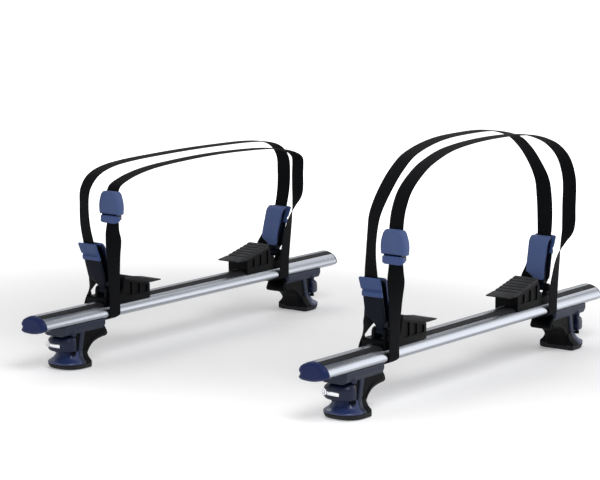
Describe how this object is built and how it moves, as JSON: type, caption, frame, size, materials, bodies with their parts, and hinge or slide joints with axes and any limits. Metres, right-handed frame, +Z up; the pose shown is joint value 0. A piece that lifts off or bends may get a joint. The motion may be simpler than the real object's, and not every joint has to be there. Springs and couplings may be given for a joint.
{
  "type": "roof kayak carrier",
  "caption": "Roof carrier for a kayak: aerofoil cross bars on clamp feet, tilting padded supports with ribbed saddles, and tie-down straps with cam buckles, shown tied.",
  "frame": {"origin": "floor level, under the middle of the whole object's outline in plan", "axes": "+X along the bars, +Y from the front bar to the rear bar, +Z up"},
  "size_m": [0.9702, 0.8265, 0.489],
  "materials": {
    "aluminium": "satin anodised",
    "black_rubber": "matt moulded",
    "cap_plastic": "satin moulded",
    "foot_plastic": "satin moulded",
    "slate_plastic": "satin moulded",
    "slate_rubber": "matt moulded",
    "chrome": "polished",
    "zinc_steel": "zinc plated",
    "webbing": "woven"
  },
  "bodies": {
    "root": {"bar_front": "aluminium", "bar_strip_front": "black_rubber", "end_cap_front_left": "cap_plastic", "foot_sole_front_left": "black_rubber", "foot_body_front_left": "foot_plastic", "foot_screw_front_left": "zinc_steel", "support_base_front_left": "foot_plastic", "saddle_pad_front_left": "black_rubber", "clamp_bolt_front_left": "zinc_steel", "hinge_pin_front_left": "slate_plastic", "end_cap_front_right": "cap_plastic", "foot_sole_front_right": "black_rubber", "foot_body_front_right": "foot_plastic", "foot_screw_front_right": "zinc_steel", "support_base_front_right": "foot_plastic", "saddle_pad_front_right": "black_rubber", "clamp_bolt_front_right": "zinc_steel", "hinge_pin_front_right": "slate_plastic", "bar_rear": "aluminium", "bar_strip_rear": "black_rubber", "end_cap_rear_left": "cap_plastic", "foot_sole_rear_left": "black_rubber", "foot_body_rear_left": "foot_plastic", "foot_screw_rear_left": "zinc_steel", "support_base_rear_left": "foot_plastic", "saddle_pad_rear_left": "black_rubber", "clamp_bolt_rear_left": "zinc_steel", "hinge_pin_rear_left": "slate_plastic", "end_cap_rear_right": "cap_plastic", "foot_sole_rear_right": "black_rubber", "foot_body_rear_right": "foot_plastic", "foot_screw_rear_right": "zinc_steel", "support_base_rear_right": "foot_plastic", "saddle_pad_rear_right": "black_rubber", "clamp_bolt_rear_right": "zinc_steel", "hinge_pin_rear_right": "slate_plastic", "strap_front": "webbing", "buckle_frame_front": "zinc_steel", "buckle_bumper_front": "slate_rubber", "strap_rear": "webbing", "buckle_frame_rear": "zinc_steel", "buckle_bumper_rear": "slate_rubber"},
    "upright_front_left": {"upright_front_left": "slate_plastic", "upright_pad_front_left": "slate_rubber"},
    "foot_cover_front_left": {"foot_cover_front_left": "foot_plastic"},
    "foot_lock_front_left": {"foot_lock_front_left": "chrome"},
    "upright_front_right": {"upright_front_right": "slate_plastic", "upright_pad_front_right": "slate_rubber"},
    "foot_cover_front_right": {"foot_cover_front_right": "foot_plastic"},
    "foot_lock_front_right": {"foot_lock_front_right": "chrome"},
    "upright_rear_left": {"upright_rear_left": "slate_plastic", "upright_pad_rear_left": "slate_rubber"},
    "foot_cover_rear_left": {"foot_cover_rear_left": "foot_plastic"},
    "foot_lock_rear_left": {"foot_lock_rear_left": "chrome"},
    "upright_rear_right": {"upright_rear_right": "slate_plastic", "upright_pad_rear_right": "slate_rubber"},
    "foot_cover_rear_right": {"foot_cover_rear_right": "foot_plastic"},
    "foot_lock_rear_right": {"foot_lock_rear_right": "chrome"},
    "cam_lever_front": {"cam_lever_front": "slate_plastic"},
    "cam_lever_rear": {"cam_lever_rear": "slate_plastic"}
  },
  "joints": [
    {"name": "tilt_front_left", "type": "hinge", "parent": "root", "child": "upright_front_left", "pos_m": [-0.281, -0.328, 0.144], "axis": [0, -1, 0], "range_deg": [-20, 20], "deforming": ["strap_front"]},
    {"name": "cover_front_left", "type": "hinge", "parent": "root", "child": "foot_cover_front_left", "pos_m": [-0.393, -0.355, 0.05], "axis": [0, 0, 1], "range_deg": [0, 95]},
    {"name": "lock_front_left", "type": "hinge", "parent": "foot_cover_front_left", "child": "foot_lock_front_left", "pos_m": [-0.4155, -0.3045, 0.05], "axis": [-1, 0, 0], "range_deg": [0, 90]},
    {"name": "tilt_front_right", "type": "hinge", "parent": "root", "child": "upright_front_right", "pos_m": [0.281, -0.328, 0.144], "axis": [0, 1, 0], "range_deg": [-20, 20], "deforming": ["strap_front"]},
    {"name": "cover_front_right", "type": "hinge", "parent": "root", "child": "foot_cover_front_right", "pos_m": [0.393, -0.355, 0.05], "axis": [0, 0, -1], "range_deg": [0, 95]},
    {"name": "lock_front_right", "type": "hinge", "parent": "foot_cover_front_right", "child": "foot_lock_front_right", "pos_m": [0.4155, -0.3045, 0.05], "axis": [1, 0, 0], "range_deg": [0, 90]},
    {"name": "tilt_rear_left", "type": "hinge", "parent": "root", "child": "upright_rear_left", "pos_m": [-0.281, 0.372, 0.144], "axis": [0, -1, 0], "range_deg": [-27, 13], "deforming": ["strap_rear"]},
    {"name": "cover_rear_left", "type": "hinge", "parent": "root", "child": "foot_cover_rear_left", "pos_m": [-0.393, 0.345, 0.05], "axis": [0, 0, 1], "range_deg": [0, 95]},
    {"name": "lock_rear_left", "type": "hinge", "parent": "foot_cover_rear_left", "child": "foot_lock_rear_left", "pos_m": [-0.4155, 0.3955, 0.05], "axis": [-1, 0, 0], "range_deg": [0, 90]},
    {"name": "tilt_rear_right", "type": "hinge", "parent": "root", "child": "upright_rear_right", "pos_m": [0.281, 0.372, 0.144], "axis": [0, 1, 0], "range_deg": [-27, 13], "deforming": ["strap_rear"]},
    {"name": "cover_rear_right", "type": "hinge", "parent": "root", "child": "foot_cover_rear_right", "pos_m": [0.393, 0.345, 0.05], "axis": [0, 0, -1], "range_deg": [0, 95]},
    {"name": "lock_rear_right", "type": "hinge", "parent": "foot_cover_rear_right", "child": "foot_lock_rear_right", "pos_m": [0.4155, 0.3955, 0.05], "axis": [1, 0, 0], "range_deg": [0, 90]},
    {"name": "cam_front", "type": "hinge", "parent": "root", "child": "cam_lever_front", "pos_m": [-0.3099, -0.385, 0.2915], "axis": [0, 1, 0], "range_deg": [0, 60], "stiffness_Nm_per_rad": 0.05},
    {"name": "cam_rear", "type": "hinge", "parent": "root", "child": "cam_lever_rear", "pos_m": [-0.3099, 0.315, 0.3025], "axis": [0, 1, 0], "range_deg": [0, 60], "stiffness_Nm_per_rad": 0.05}
  ]
}
